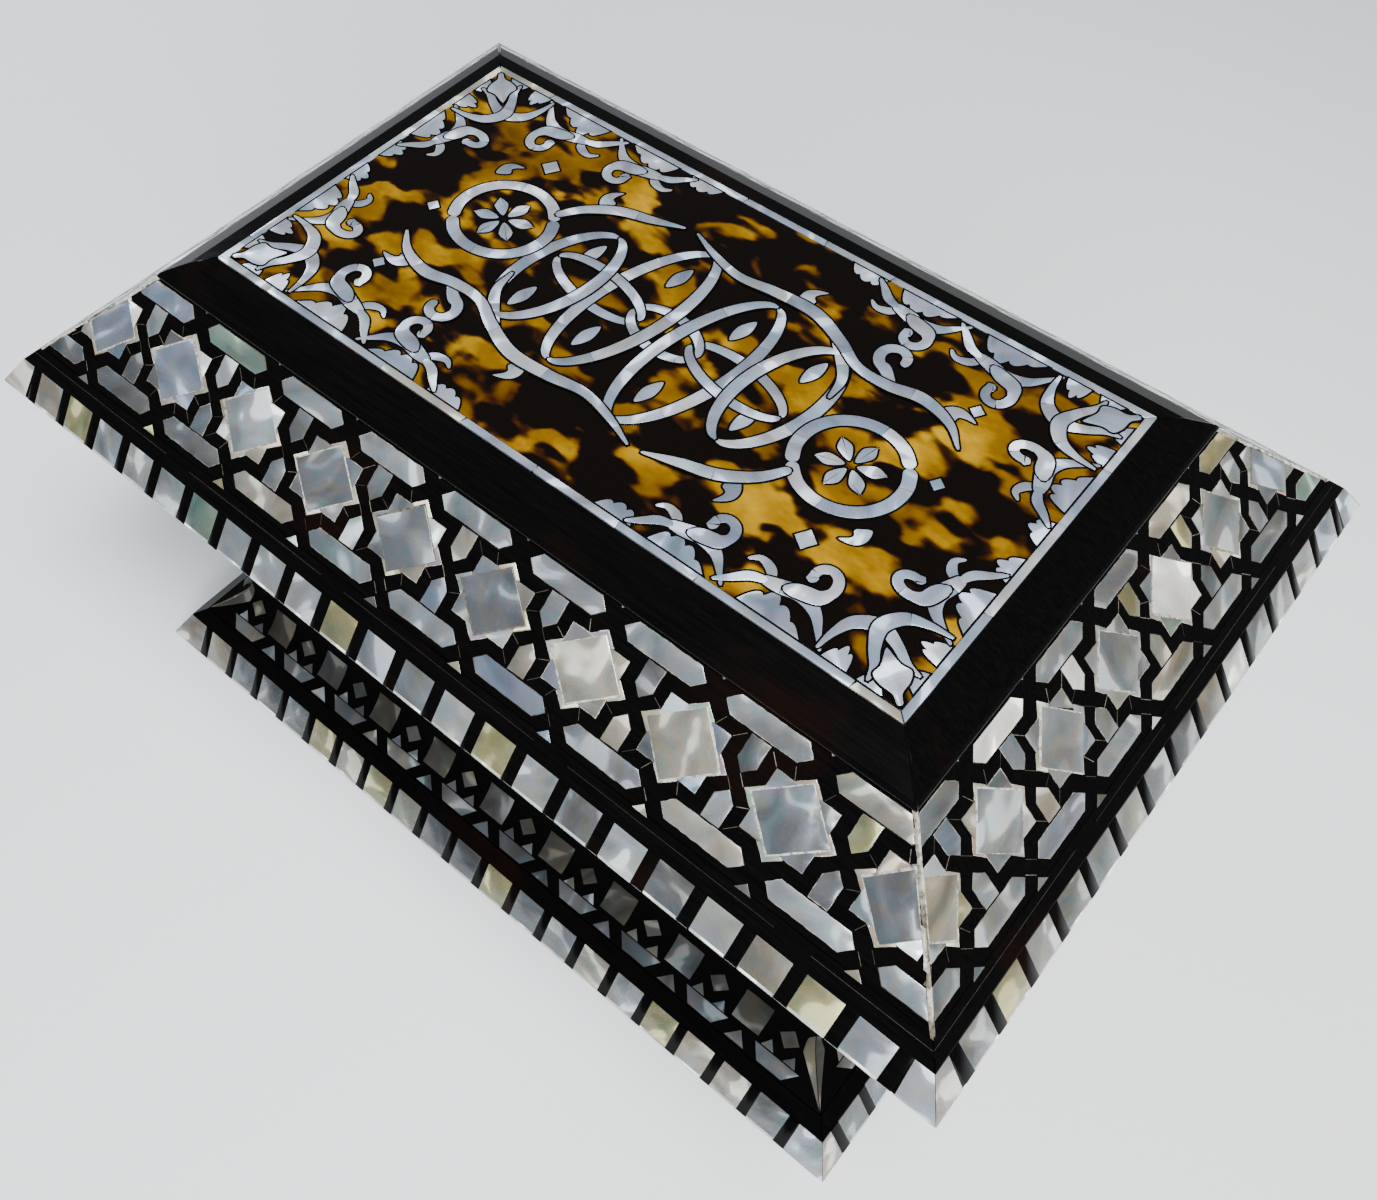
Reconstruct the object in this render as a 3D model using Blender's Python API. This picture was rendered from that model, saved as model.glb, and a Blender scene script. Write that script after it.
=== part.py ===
"""Lidded Quran box with an overhanging hipped lid and a flared plinth.

The case is a rectangular chest of mitred boards, skinned with inlaid veneer.
The lid is a hipped roof of four sloping boards round a raised flat panel, and
it swings on two brass butt hinges along the back. Every ring of four pieces
shares one cross-section, swept along each side and mitred at the corners.

Metres, +Z up. The origin is the middle of the footprint, at floor level.
+X is the right-hand short side and -Y is the front long side.
"""

import math

import bmesh
import bpy
from mathutils import Matrix, Vector
from mathutils.geometry import interpolate_bezier

MM = 0.001

# Half sides of the raised panel on the lid. All ring profiles are measured
# outward from this rectangle (first number) and up from the floor (second).
HALF_X = 143.0
HALF_Y = 73.4

TOP_Z = 235.7            # top of the closed lid
PANEL_THICK = 2.0        # tortoiseshell and pearl fillet
FILLET_WIDTH = 2.9       # pearl fillet round the panel
GAP = 0.3                # clearance between touching pieces
MITRE_GAP = 0.15 * math.sqrt(2.0)

FRAME_OUT = 16.2         # outer edge of the ebony frame moulding
FRAME_FOOT_Z = 227.8

SLOPE_TOP = (15.7, 228.2)    # line of the inlaid lid slope
SLOPE_FOOT = (52.2, 197.8)
VENEER = 2.2             # thickness of the inlaid skins
SLOPE_BOARD = 10.0       # thickness of the sloping core boards

EDGE_SHOULDER = (58.2, 192.4)    # rim moulding: strip above, squares below
EDGE_TIP = (66.3, 181.7)
EDGE_BOTTOM_Z = 180.9
EDGE_INNER = 55.3

SOFFIT_Z = 181.5         # underside of the lid where it meets the case
SOFFIT_THICK = 7.3

WALL_OUT = 20.7          # outer face of the wall veneer
WALL_CORE = (8.5, 18.2)
WALL_TOP_Z = 181.2
WALL_LINING = (6.6, 8.2)
LINING_THICK = 1.7       # floor lining, inside the wall linings

COVE_TOP_Z = 44.0        # plinth: cove, ebony strip, band of squares
COVE_BACK = 18.5
COVE_FOOT = (39.0, 19.2)
PLINTH_SHOULDER = (45.5, 14.8)
PLINTH_FOOT = (54.1, 0.0)
RAIL_TOP_Z = 15.7
BOTTOM_BOARD_Z = (4.0, 14.0)

HINGE_X = 85.0           # hinge centres, each side of the middle
HINGE_LENGTH = 44.0
KNUCKLE_R = 3.2
LEAF_THICK = 1.5
PIN_R = 1.4
LEAF_DROP = 27.0         # case leaf, down the back wall
LEAF_REACH = 21.0        # lid leaf, out under the overhang
KNUCKLE_SPLIT = 7.5      # half length of the lid's middle knuckle
HINGE_Y = HALF_Y + WALL_OUT + GAP + KNUCKLE_R
HINGE_Z = SOFFIT_Z - GAP - KNUCKLE_R

SIDES = {
    "front": (Vector((0, -1, 0)), Vector((1, 0, 0)), HALF_Y, HALF_X),
    "back": (Vector((0, 1, 0)), Vector((-1, 0, 0)), HALF_Y, HALF_X),
    "left": (Vector((-1, 0, 0)), Vector((0, -1, 0)), HALF_X, HALF_Y),
    "right": (Vector((1, 0, 0)), Vector((0, 1, 0)), HALF_X, HALF_Y),
}


def clear_scene():
    for obj in list(bpy.data.objects):
        bpy.data.objects.remove(obj, do_unlink=True)


def make_material(name, colour, roughness, metallic=0.0):
    mat = bpy.data.materials.new(name)
    mat.use_nodes = True
    shader = mat.node_tree.nodes["Principled BSDF"]
    shader.inputs["Base Color"].default_value = (*colour, 1.0)
    shader.inputs["Roughness"].default_value = roughness
    shader.inputs["Metallic"].default_value = metallic
    mat.diffuse_color = (*colour, 1.0)
    return mat


def finish(name, bm, material, parent, bevel=0.0, smooth=False):
    """Turn a bmesh in millimetres into a named object in metres."""
    bmesh.ops.recalc_face_normals(bm, faces=bm.faces[:])
    bmesh.ops.scale(bm, vec=(MM, MM, MM), verts=bm.verts[:])
    mesh = bpy.data.meshes.new(name)
    bm.to_mesh(mesh)
    bm.free()
    mesh.materials.append(material)
    obj = bpy.data.objects.new(name, mesh)
    bpy.context.collection.objects.link(obj)
    if smooth:
        mesh.shade_smooth()
        mesh.set_sharp_from_angle(angle=math.radians(40))
    if bevel:
        mod = obj.modifiers.new("softened arris", "BEVEL")
        mod.width = bevel * MM
        mod.segments = 2
        mod.limit_method = "ANGLE"
        mod.angle_limit = math.radians(25)
    obj.parent = parent
    obj.matrix_parent_inverse = Matrix.Translation(-parent.location)
    return obj


def side_piece(name, side, profile, material, parent, bevel=0.0):
    """Sweep a profile along one side, with both ends cut to the mitre."""
    out, along, half_out, half_along = SIDES[side]
    bm = bmesh.new()
    ring = []
    for off, z in profile:
        point = out * (half_out + off) - along * (half_along + off - MITRE_GAP)
        ring.append(bm.verts.new((point.x, point.y, z)))
    face = bm.faces.new(ring)
    swept = bmesh.ops.extrude_face_region(bm, geom=[face], use_keep_orig=True)
    for item in swept["geom"]:
        if isinstance(item, bmesh.types.BMVert):
            item.co -= along * (2 * along.dot(item.co))
    return finish(name, bm, material, parent, bevel)


def four_sides(stem, profile, material, parent, bevel=0.0):
    for side in SIDES:
        side_piece(f"{stem}_{side}", side, profile, material, parent, bevel)


def board(name, off, z_low, z_high, material, parent, bevel=0.0):
    """A flat rectangular board, its edge at the given offset."""
    bm = bmesh.new()
    bmesh.ops.create_cube(bm, size=1.0)
    size = (2 * (HALF_X + off), 2 * (HALF_Y + off), z_high - z_low)
    bmesh.ops.scale(bm, vec=size, verts=bm.verts[:])
    bmesh.ops.translate(bm, vec=(0, 0, (z_low + z_high) / 2), verts=bm.verts[:])
    return finish(name, bm, material, parent, bevel)


def rectangle(off_range, z_range):
    return [
        (off_range[0], z_range[0]),
        (off_range[1], z_range[0]),
        (off_range[1], z_range[1]),
        (off_range[0], z_range[1]),
    ]


class SlopeLine:
    """The line of the lid slope, or one parallel to it further inside."""

    def __init__(self, start, end, depth=0.0):
        a = Vector(start)
        b = Vector(end)
        self.dir = (b - a).normalized()
        self.normal = Vector((-self.dir.y, self.dir.x))
        self.start = a - self.normal * depth

    def at_z(self, z):
        step = (z - self.start.y) / self.dir.y
        return tuple(self.start + self.dir * step)

    def at_off(self, off):
        step = (off - self.start.x) / self.dir.x
        return tuple(self.start + self.dir * step)

    def along(self, distance):
        return tuple(self.start + self.dir * distance)


def knuckle_curl(centre, start_deg, end_deg, steps=14):
    """Outer arc out and inner arc back, for a leaf rolled round its pin."""
    outer = []
    inner = []
    for i in range(steps + 1):
        angle = math.radians(start_deg + (end_deg - start_deg) * i / steps)
        ray = Vector((math.cos(angle), math.sin(angle)))
        outer.append(tuple(centre + ray * KNUCKLE_R))
        inner.append(tuple(centre + ray * (KNUCKLE_R - LEAF_THICK)))
    return outer + inner[::-1]


def hinge_leaf(name, plate_end, curl, spans, material, parent):
    """A plate with rolled knuckles on some of its length.

    plate_end holds the two far corners of the plate in (y, z), the outer one
    first. curl starts and ends where the plate meets the knuckle. spans lists
    (x from, x to, has a knuckle).
    """
    points = [plate_end[1], plate_end[0]] + curl
    last = len(points) - 1
    full = list(range(len(points)))
    plate = [0, 1, 2, last]
    cap = list(range(2, len(points)))
    bm = bmesh.new()
    stations = [spans[0][0]] + [span[1] for span in spans]
    grid = {}

    def vert(station, index):
        key = (station, index)
        if key not in grid:
            y, z = points[index]
            grid[key] = bm.verts.new((stations[station], y, z))
        return grid[key]

    for s, (_, _, knuckle) in enumerate(spans):
        ring = full if knuckle else plate
        for a, b in zip(ring, ring[1:] + ring[:1]):
            bm.faces.new((vert(s, a), vert(s, b), vert(s + 1, b), vert(s + 1, a)))
        if s and knuckle != spans[s - 1][2]:
            bm.faces.new([vert(s, i) for i in cap])
    first = full if spans[0][2] else plate
    final = full if spans[-1][2] else plate
    bm.faces.new([vert(0, i) for i in first])
    bm.faces.new([vert(len(spans), i) for i in final])
    return finish(name, bm, material, parent, smooth=True)


def hinge_pin(name, x_centre, material, parent):
    """A straight pin with a low domed head at each end."""
    half = HINGE_LENGTH / 2
    head_r = KNUCKLE_R - 0.6
    profile = [
        (0.0, -half - 2.0),
        (head_r * 0.6, -half - 1.8),
        (head_r, -half - 1.0),
        (head_r, -half - 0.3),
        (PIN_R, -half - 0.3),
        (PIN_R, half + 0.3),
        (head_r, half + 0.3),
        (head_r, half + 1.0),
        (head_r * 0.6, half + 1.8),
        (0.0, half + 2.0),
    ]
    bm = bmesh.new()
    line = [bm.verts.new((x_centre + x, HINGE_Y, HINGE_Z + r)) for r, x in profile]
    edges = [bm.edges.new(pair) for pair in zip(line, line[1:])]
    bmesh.ops.spin(
        bm,
        geom=line + edges,
        cent=(x_centre, HINGE_Y, HINGE_Z),
        axis=(1, 0, 0),
        angle=math.tau,
        steps=20,
        use_merge=True,
    )
    bmesh.ops.remove_doubles(bm, verts=bm.verts[:], dist=0.001)
    return finish(name, bm, material, parent, smooth=True)


def build_case(mats, case):
    board("bottom_board", WALL_CORE[1], *BOTTOM_BOARD_Z, mats["cedar"], case)
    wall_foot = BOTTOM_BOARD_Z[1] + GAP
    four_sides("wall", rectangle(WALL_CORE, (wall_foot, WALL_TOP_Z)), mats["cedar"], case)
    four_sides(
        "wall_inlay",
        rectangle((COVE_BACK, WALL_OUT), (COVE_TOP_Z + GAP, WALL_TOP_Z)),
        mats["inlay"],
        case,
    )

    cove_arc = interpolate_bezier(
        Vector((WALL_OUT, COVE_TOP_Z, 0)),
        Vector((WALL_OUT, COVE_TOP_Z - 12.5, 0)),
        Vector((28.5, 25.5, 0)),
        Vector((*COVE_FOOT, 0)),
        9,
    )
    cove = [(COVE_BACK, COVE_TOP_Z)]
    cove += [(p.x, p.y) for p in cove_arc]
    cove += [(36.4, RAIL_TOP_Z + GAP), (COVE_BACK, RAIL_TOP_Z + GAP)]
    four_sides("plinth_cove", cove, mats["inlay"], case)

    band_line = SlopeLine(PLINTH_SHOULDER, PLINTH_FOOT)
    band_back = SlopeLine(PLINTH_SHOULDER, PLINTH_FOOT, VENEER)
    rail_face = SlopeLine(PLINTH_SHOULDER, PLINTH_FOOT, VENEER + GAP)
    rail = [
        (COVE_BACK, 0.0),
        rail_face.at_z(0.0),
        rail_face.along(0.0),
        (PLINTH_SHOULDER[0] - 0.1, PLINTH_SHOULDER[1] + 0.05),
        (COVE_FOOT[0] + 0.4, COVE_FOOT[1] - 0.3),
        (36.7, RAIL_TOP_Z),
        (COVE_BACK, RAIL_TOP_Z),
    ]
    four_sides("plinth_rail", rail, mats["ebony"], case)
    band = [
        band_line.along(GAP),
        PLINTH_FOOT,
        band_back.at_z(0.0),
        band_back.along(GAP),
    ]
    four_sides("plinth_band", band, mats["inlay"], case, bevel=0.3)

    lining_z = BOTTOM_BOARD_Z[1] + GAP
    floor_z = (lining_z, lining_z + LINING_THICK)
    board("floor_lining", WALL_LINING[0] - GAP, *floor_z, mats["velvet"], case)
    wall_z = (lining_z, WALL_TOP_Z - 0.7)
    four_sides("wall_lining", rectangle(WALL_LINING, wall_z), mats["velvet"], case)


def build_lid(mats, lid):
    panel_low = TOP_Z - PANEL_THICK
    board(
        "tortoiseshell_panel",
        -FILLET_WIDTH - GAP / 2,
        panel_low,
        TOP_Z,
        mats["tortoiseshell"],
        lid,
        bevel=0.2,
    )
    fillet = rectangle((-FILLET_WIDTH + GAP / 2, -GAP / 2), (panel_low, TOP_Z))
    four_sides("pearl_fillet", fillet, mats["pearl"], lid, bevel=0.2)
    board("lid_top_board", -GAP / 2, 224.5, panel_low - GAP, mats["cedar"], lid)
    board("lid_lining", -1.5, 222.7, 224.2, mats["velvet"], lid)

    frame = [
        (GAP / 2, FRAME_FOOT_Z),
        (FRAME_OUT, FRAME_FOOT_Z),
        (FRAME_OUT, FRAME_FOOT_Z + 0.9),
        (FRAME_OUT - 1.2, FRAME_FOOT_Z + 2.3),
        (7.0, 234.1),
        (GAP / 2, TOP_Z - 0.1),
    ]
    four_sides("top_frame", frame, mats["ebony"], lid, bevel=0.35)

    face = SlopeLine(SLOPE_TOP, SLOPE_FOOT)
    back = SlopeLine(SLOPE_TOP, SLOPE_FOOT, VENEER)
    length = (Vector(SLOPE_FOOT) - Vector(SLOPE_TOP)).length
    skin_top = FRAME_FOOT_Z - GAP
    skin = [
        face.at_z(skin_top),
        face.along(length),
        back.along(length),
        back.at_z(skin_top),
    ]
    four_sides("slope_inlay", skin, mats["inlay"], lid)

    outer = SlopeLine(SLOPE_TOP, SLOPE_FOOT, VENEER + GAP)
    inner = SlopeLine(SLOPE_TOP, SLOPE_FOOT, VENEER + GAP + SLOPE_BOARD)
    seat = SOFFIT_Z + SOFFIT_THICK + GAP
    core = [
        (GAP / 2, skin_top),
        outer.at_z(skin_top),
        outer.at_off(EDGE_INNER - GAP),
        (EDGE_INNER - GAP, seat),
        inner.at_z(seat),
        inner.at_off(GAP / 2),
    ]
    four_sides("slope_board", core, mats["cedar"], lid)

    rim = [
        face.along(length + GAP),
        EDGE_SHOULDER,
        (EDGE_TIP[0] - 0.5, EDGE_TIP[1] + 0.7),
        EDGE_TIP,
        (EDGE_TIP[0] - 0.6, EDGE_BOTTOM_Z),
        (EDGE_INNER, EDGE_BOTTOM_Z),
        back.at_off(EDGE_INNER),
        back.along(length + GAP),
    ]
    four_sides("rim_moulding", rim, mats["inlay"], lid)
    soffit = rectangle((WALL_LINING[0], EDGE_INNER - GAP), (SOFFIT_Z, SOFFIT_Z + SOFFIT_THICK))
    four_sides("soffit_board", soffit, mats["cedar"], lid)


def build_hinges(mats, case, lid):
    centre = Vector((HINGE_Y, HINGE_Z))
    half = HINGE_LENGTH / 2
    wall_face = HINGE_Y - KNUCKLE_R
    # The case leaf rises up the wall and rolls over the pin, away from it.
    case_curl = knuckle_curl(centre, 180.0, -100.0)
    case_end = [(wall_face, HINGE_Z - LEAF_DROP), (wall_face + LEAF_THICK, HINGE_Z - LEAF_DROP)]
    case_curl = [(wall_face, HINGE_Z - 3.6)] + case_curl
    case_curl += [(wall_face + LEAF_THICK, HINGE_Z - 3.6)]
    # The lid leaf runs in under the overhang and rolls down round the pin.
    leaf_top = HINGE_Z + KNUCKLE_R
    lid_curl = knuckle_curl(centre, 90.0, 350.0)
    lid_end = [(HINGE_Y + LEAF_REACH, leaf_top), (HINGE_Y + LEAF_REACH, leaf_top - LEAF_THICK)]
    lid_curl = [(HINGE_Y + 3.8, leaf_top)] + lid_curl
    lid_curl += [(HINGE_Y + 3.8, leaf_top - LEAF_THICK)]
    for side, x in (("left", -HINGE_X), ("right", HINGE_X)):
        case_spans = [
            (x - half, x - KNUCKLE_SPLIT, True),
            (x - KNUCKLE_SPLIT, x + KNUCKLE_SPLIT, False),
            (x + KNUCKLE_SPLIT, x + half, True),
        ]
        lid_spans = [
            (x - half, x - KNUCKLE_SPLIT + GAP, False),
            (x - KNUCKLE_SPLIT + GAP, x + KNUCKLE_SPLIT - GAP, True),
            (x + KNUCKLE_SPLIT - GAP, x + half, False),
        ]
        hinge_leaf(f"hinge_leaf_case_{side}", case_end, case_curl, case_spans, mats["brass"], case)
        hinge_leaf(f"hinge_leaf_lid_{side}", lid_end, lid_curl, lid_spans, mats["brass"], lid)
        hinge_pin(f"hinge_pin_{side}", x, mats["brass"], case)


def main():
    clear_scene()
    case = bpy.data.objects.new("case", None)
    bpy.context.collection.objects.link(case)
    lid = bpy.data.objects.new("lid_pivot", None)
    lid.location = (0.0, HINGE_Y * MM, HINGE_Z * MM)
    bpy.context.collection.objects.link(lid)
    mats = {
        "cedar": make_material("cedar", (0.23, 0.11, 0.05), 0.6),
        "ebony": make_material("ebony", (0.012, 0.009, 0.008), 0.22),
        "inlay": make_material("inlay", (0.42, 0.43, 0.43), 0.28),
        "pearl": make_material("pearl", (0.62, 0.64, 0.66), 0.22),
        "tortoiseshell": make_material("tortoiseshell", (0.32, 0.17, 0.02), 0.12),
        "velvet": make_material("velvet", (0.14, 0.012, 0.018), 0.95),
        "brass": make_material("brass", (0.62, 0.42, 0.14), 0.35, 1.0),
    }
    build_case(mats, case)
    build_lid(mats, lid)
    build_hinges(mats, case, lid)


main()
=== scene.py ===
"""Looks for the lidded Quran box: nacre, ebony, tortoiseshell, velvet, brass.

The CAD boards and mouldings stay and carry the ebony, cedar, tortoiseshell and
brass. The inlaid plates, bars, scrolls and linings are added here as geometry,
and the straps are the ebony that shows between the plates. Lengths are in
millimetres until a mesh is made, and in the frame's metres after that.
"""

import math
import random

import bmesh
import bpy
from mathutils import Matrix, Vector
from mathutils.geometry import interpolate_bezier


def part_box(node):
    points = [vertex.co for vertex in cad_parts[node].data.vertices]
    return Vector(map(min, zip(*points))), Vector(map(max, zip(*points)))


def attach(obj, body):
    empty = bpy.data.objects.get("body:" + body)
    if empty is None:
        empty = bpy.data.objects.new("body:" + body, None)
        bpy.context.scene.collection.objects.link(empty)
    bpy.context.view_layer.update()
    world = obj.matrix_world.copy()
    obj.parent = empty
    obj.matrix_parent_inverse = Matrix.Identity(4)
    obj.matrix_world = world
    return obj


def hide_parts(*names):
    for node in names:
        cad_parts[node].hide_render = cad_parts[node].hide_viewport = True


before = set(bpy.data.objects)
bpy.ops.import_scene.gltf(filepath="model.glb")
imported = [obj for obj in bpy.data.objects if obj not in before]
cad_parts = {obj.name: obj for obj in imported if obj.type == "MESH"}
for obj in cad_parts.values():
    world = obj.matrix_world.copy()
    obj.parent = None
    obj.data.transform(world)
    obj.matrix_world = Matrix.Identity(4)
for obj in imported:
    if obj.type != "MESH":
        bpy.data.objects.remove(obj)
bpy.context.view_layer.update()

MM = 0.001
HALF_X = 143.0
HALF_Y = 73.4
TOP_Z = 235.7
FILLET_WIDTH = 2.9
WALL_PITCH = 34.8        # from star to star on the long walls

SIDES = {
    "front": (Vector((0, -1, 0)), Vector((1, 0, 0)), HALF_Y, HALF_X),
    "back": (Vector((0, 1, 0)), Vector((-1, 0, 0)), HALF_Y, HALF_X),
    "left": (Vector((-1, 0, 0)), Vector((0, -1, 0)), HALF_X, HALF_Y),
    "right": (Vector((1, 0, 0)), Vector((0, 1, 0)), HALF_X, HALF_Y),
}
LONG_SIDES = ("front", "back")
QUARTERS = ((-1, -1), (-1, 1), (1, -1), (1, 1))

# Section lines, as (outward, height) points, from top to bottom.
SLOPE_PATH = [(15.7, 228.2), (52.95, 197.18)]
STRIP_PATH = [(53.2, 196.9), (58.0, 192.58)]
RIM_PATH = [(58.2, 192.4), (65.8, 182.4), (66.3, 181.7), (66.2, 181.1), (65.6, 180.85)]
FRAME_PATH = [(0.15, 235.6), (7.0, 234.1), (15.0, 230.1), (16.2, 228.7)]
WALL_PATH = [(20.7, 181.2), (20.7, 44.0)]
BAND_PATH = [(45.5, 14.8), (53.35, 1.3), (53.9, 0.6), (53.7, 0.15)]
COVE_PATH = [
    (p.x, p.y)
    for p in interpolate_bezier(
        Vector((20.7, 44.0, 0)),
        Vector((20.7, 31.5, 0)),
        Vector((28.5, 25.5, 0)),
        Vector((39.0, 19.2, 0)),
        9,
    )
]

# Plate colours: grey, silver, dark, bright, blue, olive, green, buff and pink
# nacre, with how often each turns up.
SHELL = [
    ((0.145, 0.163, 0.172), 30),
    ((0.225, 0.244, 0.246), 18),
    ((0.095, 0.103, 0.107), 12),
    ((0.66, 0.68, 0.68), 5),
    ((0.135, 0.162, 0.200), 15),
    ((0.205, 0.200, 0.105), 4),
    ((0.140, 0.205, 0.170), 2),
    ((0.225, 0.217, 0.175), 11),
    ((0.28, 0.235, 0.185), 1.5),
]
WARM = (1.07, 1.0, 0.90)
PLAIN = (1.0, 1.0, 1.0)
FILLER_TONES = ((0.50, 0.46, 0.37), (0.30, 0.27, 0.20), (0.58, 0.56, 0.48), (0.15, 0.12, 0.08))
HAIRLINE_TONES = ((0.10, 0.08, 0.055), (0.22, 0.20, 0.15), (0.045, 0.035, 0.025))
MASTIC_TONE = (0.01, 0.01, 0.01)
MASTIC_EDGE = 0.62       # width of the black line round the scrolls
FILLET_TONES = ((0.30, 0.34, 0.40), (0.26, 0.30, 0.36), (0.42, 0.44, 0.46), (0.34, 0.32, 0.27))
GLUE_TONES = ((0.03, 0.022, 0.016), (0.06, 0.048, 0.036))


def shell_tone(rng, bright=1.0, tint=PLAIN):
    tones, weights = zip(*SHELL)
    tone = rng.choices(tones, weights)[0]
    gain = bright * rng.uniform(0.78, 1.22)
    return tuple(min(1.0, c * gain * t) for c, t in zip(tone, tint))


# ---------------------------------------------------------------- materials


def preset(node, **values):
    """Set a node's sockets by name, with an underscore for each space."""
    for key, value in values.items():
        node.inputs[key.replace("_", " ")].default_value = value


class Nodes:
    """Short way to add and link shader nodes."""

    def __init__(self, name, colour):
        self.mat = bpy.data.materials.new(name)
        self.mat.use_nodes = True
        self.mat.diffuse_color = (*colour, 1.0)
        self.tree = self.mat.node_tree
        self.shader = self.tree.nodes["Principled BSDF"]
        preset(self.shader, Base_Color=(*colour, 1.0))

    def add(self, kind, **settings):
        node = self.tree.nodes.new(kind)
        for key, value in settings.items():
            setattr(node, key, value)
        return node

    def link(self, source, target):
        self.tree.links.new(source, target)

    def coords(self, scale, turn=(0.0, 0.0, 0.0), source=None):
        """Object coordinates in millimetres, scaled and turned."""
        if source is None:
            source = self.add("ShaderNodeTexCoord").outputs["Object"]
        mapping = self.add("ShaderNodeMapping")
        preset(mapping, Scale=[c / MM for c in scale], Rotation=turn)
        self.link(source, mapping.inputs["Vector"])
        return mapping.outputs["Vector"]

    def noise(self, scale, detail, rough, distortion=0.0, **place):
        """Noise scaled per millimetre, by one number or by one for each axis."""
        if isinstance(scale, float):
            scale = (scale, scale, scale)
        node = self.add("ShaderNodeTexNoise")
        preset(node, Scale=1.0, Detail=detail, Roughness=rough, Distortion=distortion)
        self.link(self.coords(scale, **place), node.inputs["Vector"])
        return node.outputs["Fac"]

    def ramp(self, source, stops, smooth=False):
        node = self.add("ShaderNodeValToRGB")
        ramp = node.color_ramp
        if smooth:
            ramp.interpolation = "EASE"
        while len(ramp.elements) < len(stops):
            ramp.elements.new(0.5)
        for element, (place, colour) in zip(ramp.elements, stops):
            element.position = place
            if isinstance(colour, (int, float)):
                colour = (colour, colour, colour)
            element.color = (*colour, 1.0)
        self.link(source, node.inputs["Fac"])
        return node.outputs["Color"]

    def plug(self, sockets, values):
        """Give each socket a number, a colour or another node's output."""
        for socket, value in zip(sockets, values):
            if isinstance(value, bpy.types.NodeSocket):
                self.link(value, socket)
            else:
                socket.default_value = (*value, 1.0) if isinstance(value, tuple) else value

    def mix(self, factor, a, b, blend="MIX"):
        node = self.add("ShaderNodeMix", data_type="RGBA", blend_type=blend)
        self.plug((node.inputs[0], node.inputs[6], node.inputs[7]), (factor, a, b))
        return node.outputs[2]

    def math(self, operation, a, b):
        node = self.add("ShaderNodeMath", operation=operation)
        self.plug(node.inputs, (a, b))
        return node.outputs[0]

    def attribute(self, name):
        return self.add("ShaderNodeAttribute", attribute_name=name)

    def finish(self, colour, roughness, normal, **settings):
        """Feed the shader, set its plain values and hand back the material."""
        for socket, source in (("Base Color", colour), ("Roughness", roughness), ("Normal", normal)):
            self.link(source, self.shader.inputs[socket])
        preset(self.shader, **settings)
        return self.mat

    def bump(self, height, distance_mm, strength, normal=None):
        node = self.add("ShaderNodeBump")
        preset(node, Strength=strength, Distance=distance_mm * MM)
        self.link(height, node.inputs["Height"])
        if normal is not None:
            self.link(normal, node.inputs["Normal"])
        return node.outputs["Normal"]


def nacre_material(name="nacre", polished=True):
    m = Nodes(name, (0.30, 0.32, 0.34))
    seed = m.attribute("seed").outputs["Fac"]
    tone = m.attribute("tone").outputs["Color"]
    place = m.add("ShaderNodeTexCoord").outputs["Object"]
    # Every plate is cut from its own part of a shell: turn and shift by plate.
    turn = m.add("ShaderNodeVectorRotate", rotation_type="AXIS_ANGLE")
    preset(turn, Axis=(0.3, 0.4, 0.87))
    m.link(place, turn.inputs["Vector"])
    m.link(m.math("MULTIPLY", seed, 40.0), turn.inputs["Angle"])
    shift = m.add("ShaderNodeVectorMath", operation="ADD")
    m.link(turn.outputs["Vector"], shift.inputs[0])
    m.link(seed, shift.inputs[1])
    own = shift.outputs["Vector"]
    cloud = m.noise((0.050, 0.105, 0.075), 0.8, 0.4, 0.7, source=own)
    silk = m.noise((0.08, 0.9, 0.5), 2.0, 0.5, 0.5, source=own)
    speck = m.noise(1.4, 3.0, 0.7, source=own)
    # Cloudy brightness over each plate: the nacre's own figure, and at the top of the ramp a painted
    # sheen, where the colour is raised almost threefold into bright flashes.
    figure_and_sheen = m.ramp(cloud, [(0.28, 0.60), (0.46, 0.88), (0.58, 1.12), (0.67, 2.9)], smooth=True)
    base = m.mix(1.0, tone, figure_and_sheen, "MULTIPLY")
    lines = m.ramp(silk, [(0.3, 0.965), (0.55, 1.0), (0.75, 1.035)])
    base = m.mix(1.0, base, lines, "MULTIPLY")
    fire = m.ramp(
        m.noise((0.06, 0.10, 0.08), 1.5, 0.5, 1.8, source=own),
        [
            (0.30, (0.34, 0.64, 0.60)),
            (0.43, (0.50, 0.56, 0.70)),
            (0.55, (0.74, 0.54, 0.56)),
            (0.68, (0.66, 0.66, 0.38)),
        ],
        smooth=True,
    )
    base = m.mix(0.38, base, fire, "SOFT_LIGHT")
    flaw = m.ramp(speck, [(0.68, 0.0), (0.78, 0.5)])
    base = m.mix(flaw, base, (0.12, 0.10, 0.06))
    wavy = m.bump(silk, 0.015, 0.2, m.bump(cloud, 1.2, 0.6))
    if polished:
        rough = m.ramp(silk, [(0.3, 0.22), (0.75, 0.30)])
        gloss = {"Metallic": 0.30, "Coat_Weight": 0.5, "Coat_Roughness": 0.08, "Coat_IOR": 1.5}
    else:
        rough = m.ramp(silk, [(0.3, 0.60), (0.75, 0.75)])
        gloss = {"IOR": 1.2, "Specular_IOR_Level": 0.3}
    return m.finish(base, rough, wavy, **gloss)


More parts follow.
